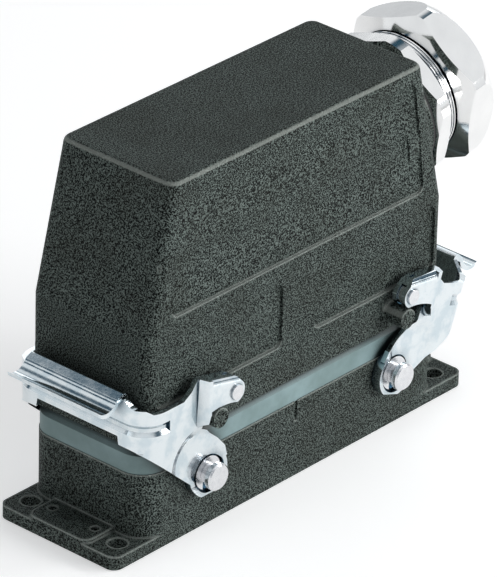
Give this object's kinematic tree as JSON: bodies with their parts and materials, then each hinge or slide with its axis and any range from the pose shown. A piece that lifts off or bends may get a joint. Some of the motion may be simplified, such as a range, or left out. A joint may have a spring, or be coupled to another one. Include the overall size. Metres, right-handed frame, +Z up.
{
  "type": "heavy duty rectangular connector",
  "caption": "Mated rectangular power connector: cast hood with a side cable gland on a flanged bulkhead housing, held by two bent steel locking levers.",
  "frame": {"origin": "middle of the four panel holes, in the flange's bottom face", "axes": "+X along the long side towards the cable gland, +Y across, +Z up out of the panel"},
  "size_m": [0.1574, 0.057, 0.1111],
  "materials": {
    "cast_coated": "dark wrinkle powder coat on a pressure casting",
    "seal_rubber": "satin blue-grey moulded rubber",
    "lever_steel": "bright zinc plated sheet",
    "pin_steel": "turned and plated",
    "ring_steel": "spring steel",
    "insert_plastic": "glass filled, light grey",
    "contact_metal": "silver plated",
    "screw_steel": "zinc plated",
    "plate_steel": "zinc plated sheet",
    "gland_brass": "bright nickel plate",
    "gasket_rubber": "matte"
  },
  "bodies": {
    "shell": {"hood": "cast_coated", "bulkhead_housing": "cast_coated", "profile_seal": "seal_rubber", "pivot_pegs": "pin_steel", "retaining_rings": "ring_steel", "insert_female": "insert_plastic", "insert_male": "insert_plastic", "contact_pins": "contact_metal", "contact_sockets": "contact_metal", "terminal_screws_female": "screw_steel", "terminal_screws_male": "screw_steel", "insert_screws_female": "screw_steel", "insert_screws_male": "screw_steel", "earth_plate_female": "plate_steel", "earth_plate_male": "plate_steel", "earth_screw_female": "screw_steel", "earth_screw_male": "screw_steel", "gland_body": "gland_brass", "gland_gasket": "gasket_rubber", "gland_seal": "gasket_rubber", "gland_washer": "gland_brass"},
    "lever_left_body": {"lever_left": "lever_steel", "claw_rivets_left": "pin_steel"},
    "roller_left_front_body": {"roller_left_front": "pin_steel"},
    "roller_left_back_body": {"roller_left_back": "pin_steel"},
    "lever_right_body": {"lever_right": "lever_steel", "claw_rivets_right": "pin_steel"},
    "roller_right_front_body": {"roller_right_front": "pin_steel"},
    "roller_right_back_body": {"roller_right_back": "pin_steel"},
    "gland_nut_body": {"gland_nut": "gland_brass"}
  },
  "joints": [
    {"name": "lever_left_swing", "type": "hinge", "parent": "shell", "child": "lever_left_body", "pos_m": [-0.0383, 0, 0.0179], "axis": [0, -1, 0], "range_deg": [0, 55]},
    {"name": "lever_right_swing", "type": "hinge", "parent": "shell", "child": "lever_right_body", "pos_m": [0.0383, 0, 0.0179], "axis": [0, 1, 0], "range_deg": [-20, 35]},
    {"name": "roller_left_front_spin", "type": "hinge", "parent": "lever_left_body", "child": "roller_left_front_body", "pos_m": [-0.03189, -0.02565, 0.04165], "axis": [0, 1, 0], "continuous": true},
    {"name": "roller_left_back_spin", "type": "hinge", "parent": "lever_left_body", "child": "roller_left_back_body", "pos_m": [-0.03189, 0.02565, 0.04165], "axis": [0, 1, 0], "continuous": true},
    {"name": "roller_right_front_spin", "type": "hinge", "parent": "lever_right_body", "child": "roller_right_front_body", "pos_m": [0.0404, -0.02565, 0.04241], "axis": [0, 1, 0], "continuous": true},
    {"name": "roller_right_back_spin", "type": "hinge", "parent": "lever_right_body", "child": "roller_right_back_body", "pos_m": [0.0404, 0.02565, 0.04241], "axis": [0, 1, 0], "continuous": true},
    {"name": "gland_nut_turn", "type": "hinge", "parent": "shell", "child": "gland_nut_body", "pos_m": [0.0741, 0, 0.08712], "axis": [0.989, 0, 0.1478], "range_deg": [0, 360]}
  ]
}
